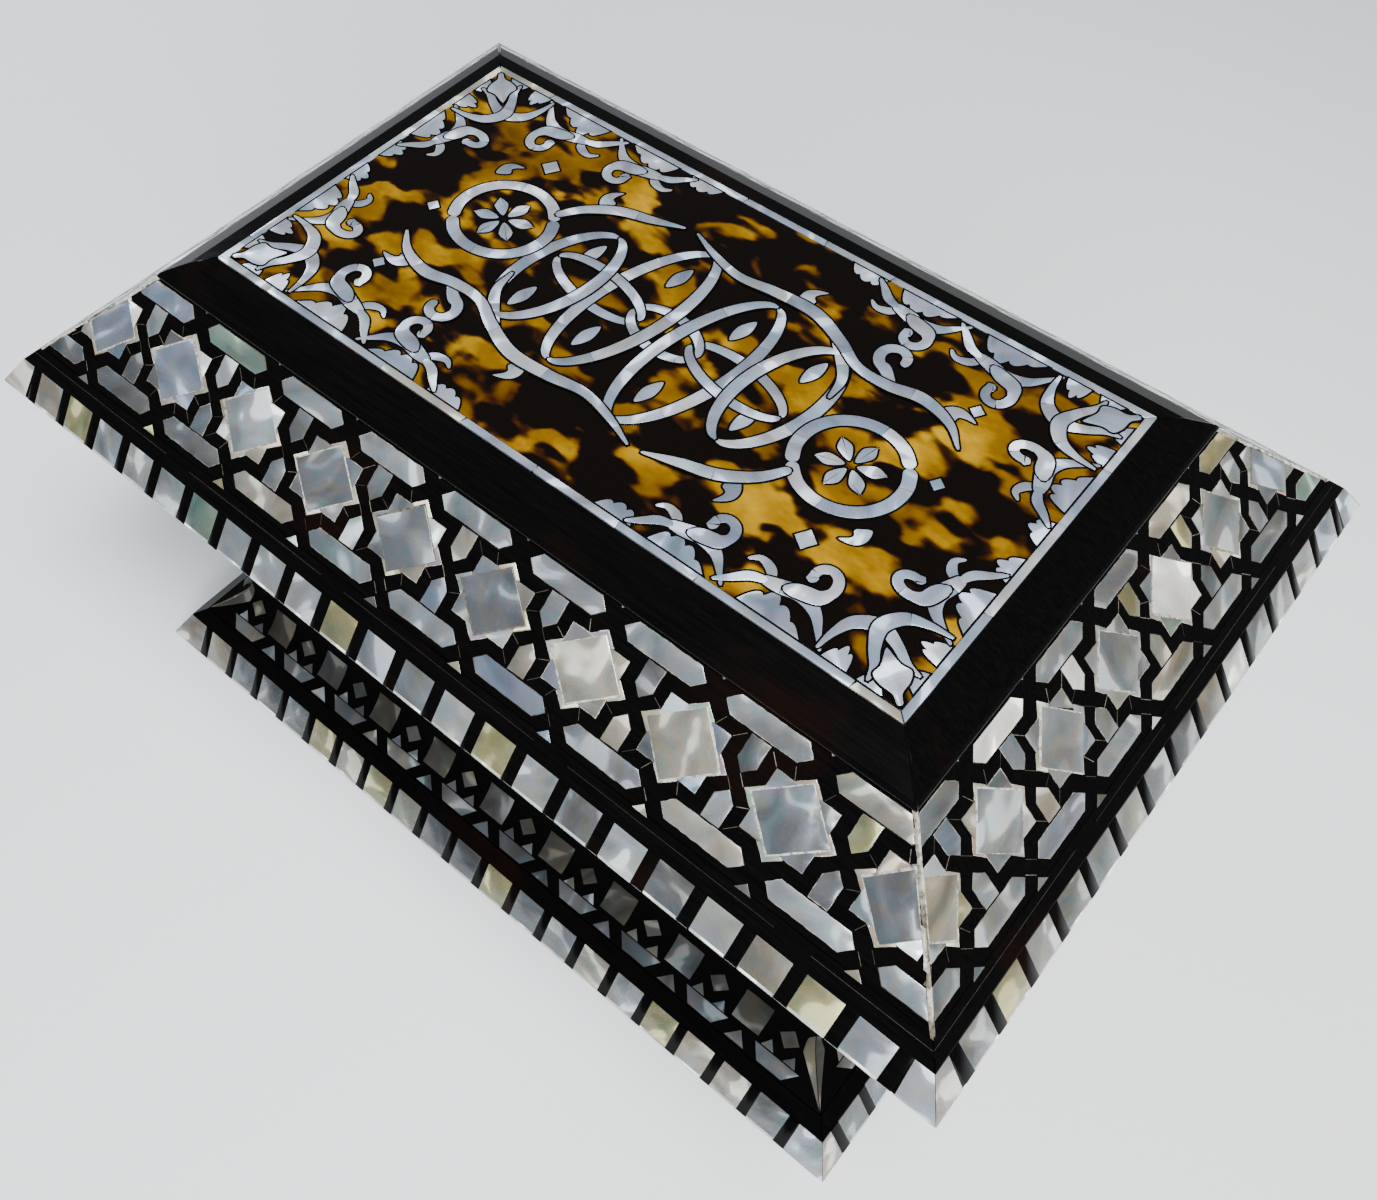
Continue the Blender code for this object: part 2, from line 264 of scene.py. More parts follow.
def ebony_material():
    m = Nodes("ebony", (0.012, 0.009, 0.008))
    grain = m.noise((0.05, 0.9, 0.9), 5.0, 0.6, 0.4)
    patch = m.noise((0.018, 0.03, 0.03), 3.0, 0.5)
    colour = m.ramp(grain, [(0.35, (0.0011, 0.0011, 0.0012)), (0.7, (0.0030, 0.0025, 0.0023))])
    rust = m.ramp(patch, [(0.58, 0.0), (0.74, 0.35)])
    colour = m.mix(rust, colour, (0.013, 0.004, 0.002))
    dust = m.noise(1.1, 5.0, 0.75)
    dusty = m.ramp(dust, [(0.66, 0.0), (0.76, 0.05)])
    colour = m.mix(dusty, colour, (0.34, 0.33, 0.30))
    scratch = m.noise((0.05, 3.5, 3.5), 3.0, 0.6, 0.3, turn=(0.2, 0.1, 0.5))
    streaks = m.ramp(scratch, [(0.4, 0.10), (0.7, 0.22)])
    smear = m.ramp(m.noise(0.06, 4.0, 0.6), [(0.35, 0.08), (0.7, 0.20)])
    rough = m.mix(0.5, streaks, smear)
    return m.finish(colour, rough, m.bump(grain, 0.04, 0.2), IOR=1.22, Specular_IOR_Level=0.5)


def tortoiseshell_material():
    m = Nodes("tortoiseshell", (0.30, 0.16, 0.02))
    warp = m.noise(0.05, 1.5, 0.5)
    bend = m.add("ShaderNodeVectorMath", operation="MULTIPLY_ADD")
    m.link(warp, bend.inputs[0])
    bend.inputs[1].default_value = (0.012, -0.008, 0.0)
    m.link(m.add("ShaderNodeTexCoord").outputs["Object"], bend.inputs[2])
    place = bend.outputs["Vector"]
    drift = m.noise((0.018, 0.024, 0.02), 1.5, 0.5, turn=(0, 0, 0.2), source=place)
    blotch = m.noise((0.046, 0.070, 0.06), 1.6, 0.42, 0.1, turn=(0, 0, 0.1), source=place)
    drops = m.noise((0.13, 0.19, 0.16), 1.5, 0.4, 0.1, turn=(0, 0, 0.1), source=place)
    dark = m.math("MULTIPLY", blotch, 0.58)
    for part, share in ((drops, 0.17), (drift, 0.25)):
        dark = m.math("ADD", dark, m.math("MULTIPLY", part, share))
    amber_noise = m.noise((0.030, 0.042, 0.035), 4.0, 0.55)
    amber = m.ramp(
        amber_noise,
        [(0.32, (0.074, 0.030, 0.0)), (0.50, (0.158, 0.074, 0.0)), (0.68, (0.40, 0.215, 0.004))],
    )
    edge = m.ramp(dark, [(0.434, 0.0), (0.486, 1.0)], smooth=True)
    core = m.ramp(dark, [(0.466, 0.0), (0.502, 1.0)], smooth=True)
    brown = m.mix(edge, amber, (0.035, 0.009, 0.0005))
    colour = m.mix(core, brown, (0.0022, 0.0010, 0.0005))
    haze = m.ramp(m.noise(0.9, 4.0, 0.7), [(0.4, 0.12), (0.75, 0.26)])
    return m.finish(colour, haze, m.bump(amber_noise, 0.25, 0.12), Specular_IOR_Level=0.4)


def filler_material():
    m = Nodes("filler", (0.50, 0.45, 0.36))
    tone = m.attribute("tone").outputs["Color"]
    dirt = m.noise(0.7, 5.0, 0.7)
    colour = m.mix(1.0, tone, m.ramp(dirt, [(0.38, 0.25), (0.58, 1.1)]), "MULTIPLY")
    return m.finish(colour, m.ramp(dirt, [(0.3, 0.75), (0.7, 0.45)]), m.bump(dirt, 0.04, 0.4))


def mastic_material():
    m = Nodes("mastic", (0.010, 0.008, 0.007))
    crumb = m.noise(1.6, 4.0, 0.7)
    colour = m.ramp(crumb, [(0.3, (0.0010, 0.0010, 0.0010)), (0.7, (0.0035, 0.0032, 0.0030))])
    rough = m.ramp(crumb, [(0.3, 0.6), (0.7, 0.85)])
    return m.finish(colour, rough, m.bump(crumb, 0.05, 0.4), IOR=1.08, Specular_IOR_Level=0.3)


def cedar_material():
    m = Nodes("cedar", (0.20, 0.10, 0.05))
    rings = m.add("ShaderNodeTexWave", wave_type="RINGS", rings_direction="X")
    preset(rings, Scale=0.30, Distortion=5.0, Detail=3.0, Detail_Scale=0.6)
    m.link(m.coords((0.06, 0.9, 0.9), (0.05, 0.04, 0.0)), rings.inputs["Vector"])
    pores = m.noise((0.10, 2.4, 2.4), 4.0, 0.65)
    colour = m.ramp(
        rings.outputs["Fac"],
        [(0.2, (0.085, 0.036, 0.016)), (0.7, (0.20, 0.092, 0.040))],
    )
    colour = m.mix(m.ramp(pores, [(0.5, 0.0), (0.7, 0.5)]), colour, (0.040, 0.017, 0.008))
    return m.finish(colour, m.ramp(pores, [(0.35, 0.48), (0.7, 0.72)]), m.bump(pores, 0.08, 0.35))


def velvet_material():
    m = Nodes("velvet", (0.13, 0.010, 0.016))
    pile = m.noise(5.0, 3.0, 0.7)
    nap = m.noise((0.03, 0.05, 0.04), 4.0, 0.6, 0.6)
    colour = m.ramp(nap, [(0.3, (0.080, 0.005, 0.009)), (0.7, (0.135, 0.010, 0.017))])
    colour = m.mix(m.ramp(pile, [(0.4, 0.0), (0.7, 0.3)]), colour, (0.22, 0.028, 0.034))
    sheen = {"Sheen_Weight": 0.3, "Sheen_Roughness": 0.3, "Sheen_Tint": (0.75, 0.20, 0.22, 1.0)}
    rough = m.ramp(pile, [(0.3, 0.85), (0.7, 1.0)])
    return m.finish(colour, rough, m.bump(pile, 0.18, 0.6), **sheen)


def brass_material():
    m = Nodes("brass", (0.58, 0.38, 0.13))
    tarnish = m.noise(0.28, 5.0, 0.65)
    brushed = m.noise((0.2, 4.0, 4.0), 3.0, 0.6)
    colour = m.ramp(
        tarnish,
        [(0.3, (0.17, 0.095, 0.035)), (0.5, (0.45, 0.28, 0.085)), (0.7, (0.62, 0.42, 0.15))],
    )
    dulled = m.ramp(tarnish, [(0.3, 0.55), (0.7, 0.28)])
    rough = m.mix(0.5, dulled, m.ramp(brushed, [(0.3, 0.24), (0.7, 0.46)]))
    return m.finish(colour, rough, m.bump(brushed, 0.03, 0.3), Metallic=1.0)


MATS = {
    "nacre": nacre_material(),
    "dull_nacre": nacre_material("dull_nacre", polished=False),
    "ebony": ebony_material(),
    "tortoiseshell": tortoiseshell_material(),
    "filler": filler_material(),
    "mastic": mastic_material(),
    "cedar": cedar_material(),
    "velvet": velvet_material(),
    "brass": brass_material(),
}


# ---------------------------------------------------------------- 2D shapes


def edges(loop):
    """Each point of a closed outline with the next one."""
    return zip(loop, loop[1:] + loop[:1])


def clip(poly, a, b, c):
    """Keep the part of a convex outline where a*x + b*y <= c."""
    kept = []
    for p, q in edges(poly):
        dp = a * p[0] + b * p[1] - c
        dq = a * q[0] + b * q[1] - c
        if dp <= 0:
            kept.append(p)
        if (dp < 0 < dq) or (dq < 0 < dp):
            f = dp / (dp - dq)
            kept.append((p[0] + (q[0] - p[0]) * f, p[1] + (q[1] - p[1]) * f))
    return kept


def area(poly):
    return 0.5 * sum(p[0] * q[1] - q[0] * p[1] for p, q in edges(poly))


def tidy_outline(poly, shortest=0.08):
    """Drop points that sit on their neighbour, and turn counter-clockwise."""
    kept = []
    for p in poly:
        if not kept or math.dist(p, kept[-1]) > shortest:
            kept.append(p)
    if len(kept) > 1 and math.dist(kept[0], kept[-1]) <= shortest:
        kept.pop()
    return kept[::-1] if area(kept) < 0 else kept


def inset(poly, amount):
    """Move every edge of a counter-clockwise outline inward (or outward if negative)."""
    moved = []
    for i, point in enumerate(poly):
        here = Vector(point)
        before = here - Vector(poly[i - 1])
        after = Vector(poly[(i + 1) % len(poly)]) - here
        n1 = Vector((-before.y, before.x)).normalized()
        n2 = Vector((-after.y, after.x)).normalized()
        both = n1 + n2
        if both.length < 0.2:
            both = n1
        both.normalize()
        moved.append(tuple(here + both * (amount / max(0.35, both.dot(n1)))))
    return moved


def uneven(poly, rng, step, amount):
    """Hand-sawn edges: extra points along each edge, each slightly off line."""
    out = []
    for p, q in edges(poly):
        count = max(1, int(math.dist(p, q) / step))
        for i in range(count):
            f = i / count
            x = p[0] + (q[0] - p[0]) * f + rng.uniform(-amount, amount)
            y = p[1] + (q[1] - p[1]) * f + rng.uniform(-amount, amount)
            out.append((x, y))
    return out


def placed(points, x, y, turn=0.0):
    """Points turned about the origin, then moved to (x, y). A width stays as it is."""
    c = math.cos(turn)
    s = math.sin(turn)
    return [(x + p[0] * c - p[1] * s, y + p[0] * s + p[1] * c, *p[2:]) for p in points]


def flipped(points, sx, sy):
    """Points mirrored in either axis, or turned by 180 degrees. A width stays as it is."""
    return [(p[0] * sx, p[1] * sy, *p[2:]) for p in points]


def diamond(rx, ry):
    return [(rx, 0), (0, ry), (-rx, 0), (0, -ry)]


def rect(x0, x1, y0, y1):
    return [(x0, y0), (x1, y0), (x1, y1), (x0, y1)]


# ------------------------------------------------------------ inlaid faces


def stack(bm, rings):
    """A closed solid through rings of points, one after the other."""
    rings = [[bm.verts.new(point) for point in ring] for ring in rings]
    faces = [bm.faces.new(rings[0][::-1]), bm.faces.new(rings[-1])]
    for low, high in zip(rings, rings[1:]):
        for (a, b), (c, d) in zip(edges(low), edges(high)):
            faces.append(bm.faces.new((a, b, d, c)))
    return faces


class Builder:
    """Collects raised plates, each with its own tone and seed, into one mesh."""

    def __init__(self):
        self.bm = bmesh.new()
        self.tone = self.bm.faces.layers.float_color.new("tone")
        self.seed = self.bm.faces.layers.float.new("seed")
        self.corner = self.bm.verts.layers.float.new("corner")

    def solid(self, rings, tone, seed, corner=0.0):
        for face in stack(self.bm, rings):
            face[self.tone] = (*tone, 1.0)
            face[self.seed] = seed
            for vert in face.verts:
                vert[self.corner] = corner

    def slab(self, outline, top, tone, seed, bevel, base, corner=0.0):
        """A flat-topped solid with a softened arris, standing on base."""
        levels = ((outline, base), (outline, top - bevel * 0.6), (inset(outline, bevel), top))
        rings = [[(x, y, height) for x, y in points] for points, height in levels]
        self.solid(rings, tone, seed, corner)

    def plate(self, outline, top, tone, seed, bevel=0.14, base=-0.25, corner=0.0):
        """A slab from any outline, left out where trimming has left a mere crumb."""
        outline = tidy_outline(outline)
        if len(outline) > 2 and area(outline) >= 0.35:
            self.slab(outline, top, tone, seed, bevel, base, corner)


def add_piece(name, bm, material, body, replaces=(), sharp=35):
    """A mesh in millimetres becomes a piece of the frame, in metres."""
    bmesh.ops.recalc_face_normals(bm, faces=bm.faces[:])
    bmesh.ops.scale(bm, vec=(MM, MM, MM), verts=bm.verts[:])
    mesh = bpy.data.meshes.new(name)
    bm.to_mesh(mesh)
    bm.free()
    mesh.materials.append(MATS[material])
    mesh.shade_smooth()
    mesh.set_sharp_from_angle(angle=math.radians(sharp))
    obj = bpy.data.objects.new(name, mesh)
    bpy.context.scene.collection.objects.link(obj)
    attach(obj, body)
    if replaces:
        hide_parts(*replaces)
    return obj


class Surface:
    """One inlaid side. x runs along the side, y down the section line."""

    def __init__(self, side, path, seam=0.28, nacre="nacre"):
        self.nacre = nacre
        self.out, self.along, self.half_out, self.half_along = SIDES[side]
        self.path = [Vector(p) for p in path]
        self.knots = [0.0]
        for a, b in zip(self.path, self.path[1:]):
            self.knots.append(self.knots[-1] + (b - a).length)
        self.length = self.knots[-1]
        self.seam = seam
        self.pearl = Builder()
        self.filler = Builder()
        self.ebony = Builder()

    def locate(self, y):
        i = 0
        while i < len(self.path) - 2 and y > self.knots[i + 1]:
            i += 1
        a = self.path[i]
        b = self.path[i + 1]
        d = (b - a).normalized()
        point = a + d * (y - self.knots[i])
        return point, Vector((-d.y, d.x)), i

    def normal_at(self, y):
        """Section normal, averaged where two stretches of the line meet."""
        _, normal, i = self.locate(y)
        for k in (i, i + 1):
            if 0 < k < len(self.path) - 1 and abs(y - self.knots[k]) < 0.02:
                before = self.locate(self.knots[k] - 0.05)[1]
                after = self.locate(self.knots[k] + 0.05)[1]
                both = (before + after).normalized()
                return both / max(0.5, both.dot(before))
        return normal

    def wrap(self, bm, corner_layer):
        """Bend flat plates onto the section line and into place."""
        for k in self.knots[1:-1]:
            geom = bm.verts[:] + bm.edges[:] + bm.faces[:]
            cut = {"plane_co": (0, k, 0), "plane_no": (0, 1, 0)}
            bmesh.ops.bisect_plane(bm, geom=geom, dist=0.001, **cut)
        for v in bm.verts:
            x, y, height = v.co
            point, _, _ = self.locate(y)
            section = point + self.normal_at(y) * height
            sign = v[corner_layer]
            if abs(sign) > 0.5:
                x = sign * (self.half_along + section.x - x)
            place = self.out * (self.half_out + section.x) + self.along * x
            v.co = (place.x, place.y, section.y)

    def trim(self, poly, y_from=0.0, y_to=None):
        """Cut an outline to the mitres at both ends and to the field's edges."""
        y_to = self.length if y_to is None else y_to
        a = self.locate(y_from)[0]
        b = self.locate(y_to)[0]
        rate = (b.x - a.x) / (y_to - y_from)
        limit = self.half_along + a.x - rate * y_from - self.seam
        for line in ((1.0, -rate, limit), (-1.0, -rate, limit), (0.0, -1.0, -y_from), (0.0, 1.0, y_to)):
            poly = clip(poly, *line)
        return poly

    def thin(self, outline, tone):
        """A hairline of filler, just proud of the straps."""
        if area(outline) < 0:
            outline = outline[::-1]
        rings = [[(x, y, height) for x, y in outline] for height in (-0.05, 0.03)]
        self.filler.solid(rings, tone, 0.5)

    def finish(self, stem, body, replaces=()):
        """Make one piece of each material that this side uses."""
        parts = ((self.nacre, self.pearl), ("filler", self.filler), ("ebony", self.ebony))
        for material, builder in parts:
            if builder.bm.faces:
                self.wrap(builder.bm, builder.corner)
                add_piece(f"{stem}_{material}", builder.bm, material, body, replaces)
            else:
                builder.bm.free()


def line_piece(a, b, width):
    """A hairline joint between two points, as a thin outline."""
    d = (Vector(b) - Vector(a)).normalized()
    n = Vector((-d.y, d.x)) * width / 2
    return [tuple(Vector(p) + n * side) for p, side in ((a, -1), (b, -1), (b, 1), (a, 1))]


class Strapwork:
    """Eight-pointed stars in ebony straps, the pattern of the lid and walls."""

    PARTING = 0.16       # from a plate's drawn edge to its cut edge
    ARM = 3.5            # half width of a pentagon

    def __init__(self, surface, rng, pitch, field, bright=1.0, strap=3.8, tint=PLAIN):
        self.surface = surface
        self.rng = rng
        self.half = pitch / 2
        self.field = field
        self.bright = bright
        self.strap = strap
        self.tint = tint
        # Half sizes of a star. Those on the lid's long slopes are the widest.
        widest = pitch > WALL_PITCH + 1
        self.square = (11.2, 10.4) if widest else (10.6, 10.4)
        self.tip = (self.half - strap / math.sqrt(2), 14.6)
        self.heart = (13.6, 12.9) if widest else (12.3, 12.4)

    def lay(self, outline, top, tone=None, halo=0.0, edge=0.07, cream=0.45):
        """One nacre plate, cut back inside its outline, with filler in the joint."""
        outline = self.surface.trim(tidy_outline(outline), *self.field)
        if len(outline) < 3:
            return
        seed = self.rng.random()
        tone = tone or shell_tone(self.rng, self.bright, self.tint)
        outline = inset(tidy_outline(outline), self.PARTING)
        if halo:
            filler = tuple(c * cream for c in self.rng.choice(FILLER_TONES))
            line = uneven(outline, self.rng, 1.6, 0.12)
            self.surface.filler.plate(line, top - 0.08, filler, seed, bevel=0.03)
            # The plate sits off centre in its bed, so the line is wider on one side.
            slip = halo * 0.55
            dx = self.rng.uniform(-slip, slip)
            dy = self.rng.uniform(-slip, slip)
            outline = [(x + dx, y + dy) for x, y in inset(outline, halo * 0.6)]
        rough = uneven(outline, self.rng, 3.2, edge)
        self.surface.pearl.plate(rough, top + self.rng.uniform(-0.02, 0.02), tone, seed)

    def star(self, x, y):
        """A heart plate over four tips and four wings."""
        rng = self.rng
        ax, ay = self.square
        bx, by = self.tip
        px, py = self.heart
        tip_tone = (0.33, 0.32, 0.27)
        across = [(bx, 0), (ax, ay - by), (ax * 0.8, 0), (ax, by - ay)]
        upright = [(0, by), (ax - bx, ay), (0, ay * 0.8), (bx - ax, ay)]
        for tip, sx, sy in ((across, 1, 1), (across, -1, 1), (upright, 1, 1), (upright, 1, -1)):
            tone = tuple(c * rng.uniform(0.75, 1.25) for c in tip_tone)
            self.lay(placed(flipped(tip, sx, sy), x, y), 0.11, tone, 0.24, cream=0.9)
        hx = px + rng.uniform(-0.5, 0.5)
        hy = py + rng.uniform(-0.5, 0.5)
        cx = rng.uniform(-0.5, 0.5)
        cy = rng.uniform(-0.5, 0.7)
        wing = [(ax, ay), (px * 0.14, ay), (ax, py * 0.14)]
        for sx, sy in QUARTERS:
            self.lay(placed(flipped(wing, sx, sy), x, y), 0.12, None, 0.25, cream=0.7)
        heart = placed(diamond(hx, hy), x + cx, y + cy, rng.uniform(-0.03, 0.03))
        self.lay(inset(tidy_outline(heart), -0.45), 0.24, None, 0.62, 0.14, 0.85)

    def pentagon_shape(self, reach):
        near = self.strap / math.sqrt(2)
        c = self.ARM
        return [(0, near), (c, near + c), (c, reach), (-c, reach), (-c, near + c)]

    def pentagon(self, x, y, sign, reach):
        shape = flipped(self.pentagon_shape(reach), 1, sign)
        self.lay(placed(shape, x, y), 0.14, None, 0.2)

    def bar(self, x, y):
        tip = self.half - 3.5
        shoulder = tip - 3.6
        wide = 3.7
        shape = [(tip, 0), (shoulder, wide), (-shoulder, wide)]
        shape += [(-tip, 0), (-shoulder, -wide), (shoulder, -wide)]
        self.lay(placed(shape, x, y), 0.15, None, 0.2)

    def joints(self, x, y, crossing_y):
        """Hairlines where the straps are mitred and where they cross."""
        ax, ay = self.square
        bx, by = self.tip
        w = self.strap
        quarter = (
            ((ax, ay), (ax + w * 0.8, ay + w * 0.8)),
            ((ax, by - ay), (ax + w * 0.9, by - ay + w * 0.45)),
            ((bx - ax, ay), (bx - ax + w * 0.45, ay + w * 0.9)),
        )
        lines = [flipped(line, sx, sy) for sx, sy in QUARTERS for line in quarter]
        r = w / math.sqrt(2)
        for cx, cy in ((self.half, 0), (0, crossing_y)):
            lines.append(((cx - r, cy), (cx, cy + r)))
            lines.append(((cx, cy - r), (cx + r, cy)))
        for line in lines:
            if self.rng.random() < 0.5:
                continue
            a, b = placed(line, x, y)
            hairline = tidy_outline(line_piece(a, b, self.rng.uniform(0.09, 0.18)), 0.02)
            outline = self.surface.trim(hairline, *self.field)
            if len(outline) > 2:
                self.surface.thin(outline, self.rng.choice(HAIRLINE_TONES))


def ridge_filler(surface, rng):
    """Cream filler in the mitres, in short lengths of uneven width."""
    for sign in (-1.0, 1.0):
        y = 0.3
        while y < surface.length - 0.5:
            stop = min(y + rng.uniform(2.5, 7.0), surface.length - 0.1)
            near = rng.uniform(0.5, 1.5)
            far = rng.uniform(0.5, 1.5)
            outline = [(-0.15, y), (near, y), (far, stop), (-0.15, stop)]
            tone = rng.choice(FILLER_TONES)
            surface.filler.plate(outline, 0.13, tone, rng.random(), 0.05, corner=sign)
            y = stop


def lid_slope(side):
    """One row of stars along a slope of the lid, with bars above and below."""
    rng = random.Random(f"slope {side}")
    surface = Surface(side, SLOPE_PATH, seam=0.85)
    long_side = side in LONG_SIDES
    pitch, count = (37.8, 10) if long_side else (34.3, 7)
    # The plates on the long slopes are raised 7% in brightness, painted light for the lit front slope.
    strap, tint, bright = (3.9, PLAIN, 1.07) if long_side else (4.4, WARM, 1.0)
    straps = Strapwork(surface, rng, pitch, (0.3, surface.length), bright, strap, tint)
    middle = 23.3
    to_bars = 18.4
    tooth = [(0, 22.0), (straps.ARM, 25.4), (-straps.ARM, 25.4)]
    for i in range(-1, count + 1):
        x = (i - (count - 1) / 2) * pitch
        straps.star(x, middle)
        for sign in (-1, 1):
            straps.bar(x + pitch / 2, middle + sign * to_bars)
            straps.pentagon(x + pitch / 2, middle, sign, 14.5)
            straps.lay(placed(flipped(tooth, 1, sign), x, middle), 0.12, None, 0.0, 0.04)
        straps.joints(x, middle, 18.2)
    ridge_filler(surface, rng)
    surface.finish(f"slope_{side}", "lid")


def wall_face(side):
    """Rows of stars on a wall, parted by pentagons and small squares."""
    rng = random.Random(f"wall {side}")
    surface = Surface(side, WALL_PATH, seam=1.6)
    pitch, reach = (WALL_PITCH, 5) if side in LONG_SIDES else (34.2, 3)
    rows = 4
    rise = surface.length / rows
    straps = Strapwork(surface, rng, pitch, (0.8, surface.length - 0.6))
    lying = [(py, -px) for px, py in straps.pentagon_shape(straps.half - 3.8)]
    small = rect(-3.4, 3.4, -3.4, 3.4)
    for row in range(rows):
        y = (row + 0.5) * rise
        for i in range(-reach, reach + 1):
            x = i * pitch
            straps.star(x, y)
            for sign in (-1, 1):
                straps.pentagon(x + pitch / 2, y, sign, rise / 2 - 3.8)
                shape = placed(flipped(lying, sign, 1), x, y + rise / 2)
                straps.lay(shape, 0.14, None, 0.12)
            straps.lay(placed(small, x + pitch / 2, y + rise / 2), 0.16, None, 0.12)
            if row == 0:
                straps.lay(placed(small, x + pitch / 2, 0), 0.16, None, 0.12)
            straps.joints(x, y, rise / 2)
    surface.finish(f"wall_{side}", "case")


# Painted shade: the cove's plate tones are darkened for the shadow under the overhang, the foot row
# least.
COVE_SHADE_TONES = {
    "square": ((0.045, 0.044, 0.036), (0.035, 0.032, 0.025), (0.048, 0.050, 0.048)),
    "small": ((0.066, 0.068, 0.068), (0.051, 0.050, 0.043)),
    "foot": ((0.084, 0.089, 0.091), (0.108, 0.108, 0.099), (0.062, 0.067, 0.071)),
}


def cove_face(side):
    """Nacre set in black mastic, in the hollow above the plinth, its plates darkened as painted shade
    for the shadow under the overhang.
    """
    rng = random.Random(f"cove {side}")
    surface = Surface(side, COVE_PATH, nacre="dull_nacre")
    foot = surface.length
    straps = Strapwork(surface, rng, WALL_PITCH, (0.5, foot - 0.4))
    pitch, reach = (WALL_PITCH, 4) if side in LONG_SIDES else (33.5, 2)

    def lay(shape, x, y, top, kind):
        gain = rng.uniform(0.8, 1.25)
        tone = tuple(c * gain for c in rng.choice(COVE_SHADE_TONES[kind]))
        straps.lay(placed(shape, x, y), top, tone)

    for i in range(-reach - 1, reach + 2):
        x = i * pitch
        if abs(i) <= reach:
            lay(rect(-6.8, 6.8, -7.3, 7.3), x, foot - 16.0, 0.16, "square")
            lay([(0, -6.0), (5.1, 0), (-5.1, 0)], x, foot - 0.5, 0.13, "foot")
        if i <= reach:
            x += pitch / 2
            lay(diamond(4.9, 4.9), x, foot - 16.4, 0.16, "small")
            lay([(-10.9, -6.4), (10.9, -6.4), (6.0, 0), (-6.0, 0)], x, foot - 0.5, 0.15, "foot")
            for sign in (-1, 1):
                fang = [(-3.3, 0), (0.4 * sign, -4.7), (3.3, 0)]
                lay(fang, x + 5.2 * sign, foot - 7.1, 0.14, "foot")
    for sign in (-1.0, 1.0):
        # Painted shade: both halves of the corner kite are darkened for the shadow under the overhang,
        # and the half at the negative end is painted darker still.
        tone = (0.105, 0.098, 0.075) if sign > 0 else (0.050, 0.048, 0.040)
        kite = [(0.22, foot - 27.0), (3.4, foot - 23.0), (6.0, foot - 16.0), (0.22, foot - 1.0)]
        surface.pearl.plate(kite, 0.18, tone, rng.random(), corner=sign)
    surface.finish(f"cove_{side}", "case")


# Painted highlight: a pale nacre tone laid along the rounded lip of each band, where the edge catches
# the light.
LIP_HIGHLIGHT_TONE = (0.62, 0.62, 0.58)


def square_band(side, path, stem, pitch, counts, bar, body, bright=1.0):
    """A row of nacre squares parted by ebony bars, with mitred end plates.

    counts says how many bars stand on a long side and on a short side.
    """
    rng = random.Random(f"{stem} {side}")
    surface = Surface(side, path)
    y0 = 0.35
    y1 = surface.length
    long_side = side in LONG_SIDES
    count = counts[0] if long_side else counts[1]
    tint = PLAIN if long_side else WARM
    gap = bar / 2 + 0.18
    reach = pitch * (count - 1) / 2
    lip_from = surface.knots[1] + 0.03
    lip_to = surface.knots[2] - 0.03
    for i in range(count):
        x = i * pitch - reach
        half = bar / 2 + rng.uniform(-0.2, 0.2)
        skew = rng.uniform(-0.25, 0.25)
        a = x - half
        b = x + half
        edge = [(a + skew, y0), (b + skew, y0), (b - skew, y1), (a - skew, y1)]
        surface.ebony.plate(edge, 0.16, MASTIC_TONE, rng.random(), bevel=0.06)
        if i == count - 1:
            break
        left = x + gap
        right = x + pitch - gap
        shape = [(left, y0), (right, y0 + rng.uniform(0, 0.2)), (right, y1), (left, y1)]
        tone = shell_tone(rng, bright, tint)
        top = 0.18 + rng.uniform(-0.03, 0.03)
        surface.pearl.plate(shape, top, tone, rng.random(), bevel=0.2)
        # Painted highlight: a pale strip on the rounded lip.
        lip = rect(left + 0.3, right - 0.3, lip_from, lip_to)
        surface.pearl.plate(lip, 0.26, LIP_HIGHLIGHT_TONE, rng.random(), bevel=0.05)
    for sign in (-1.0, 1.0):
        a = surface.half_along + surface.path[0].x - reach - gap
        b = surface.half_along + surface.path[-1].x - reach - gap
        shape = [(0.16, y0), (0.16, y1), (b, y1), (a, y0)]
        tone = (0.30, 0.32, 0.34) if sign > 0 else (0.26, 0.25, 0.22)
        surface.pearl.plate(shape, 0.18, tone, rng.random(), bevel=0.2, corner=sign)
    surface.finish(f"{stem}_{side}", body)


def fillet(side):
    """The nacre border of the panel, made of several short lengths."""
    rng = random.Random(f"fillet {side}")
    path = [(-FILLET_WIDTH + 0.08, TOP_Z - 0.12), (-0.1, TOP_Z - 0.12)]
    surface = Surface(side, path)
    reach = surface.half_along + path[0][0]
    cuts = [-reach - 4]
    while cuts[-1] < reach + 4:
        cuts.append(cuts[-1] + rng.uniform(26, 62))
    cuts[-1] = reach + 4
    end = surface.length
    for a, b in zip(cuts, cuts[1:]):
        lean = rng.uniform(-0.9, 0.9)
        shape = [(a + 0.06 + lean, 0), (b - 0.06, 0), (b - 0.06 + lean, end), (a + 0.06, end)]
        shape = surface.trim(tidy_outline(shape))
        tone = rng.choice(FILLET_TONES)
        if len(shape) > 2:
            surface.pearl.plate(shape, 0.16, tone, rng.random(), bevel=0.12, base=-1.8)
    surface.finish(f"fillet_{side}", "lid", [f"pearl_fillet_{side}"])


def frame_mitres(side):
    """Black glue that fills the mitres of the frame moulding."""
    surface = Surface(side, FRAME_PATH)
    for sign in (-1.0, 1.0):
        strip = rect(-0.2, 0.75, 0.3, surface.length)
        surface.ebony.plate(strip, 0.03, MASTIC_TONE, 0.5, bevel=0.01, base=-1.2, corner=sign)
    surface.finish(f"frame_mitres_{side}", "lid")


# ------------------------------------------------------------- panel scrolls


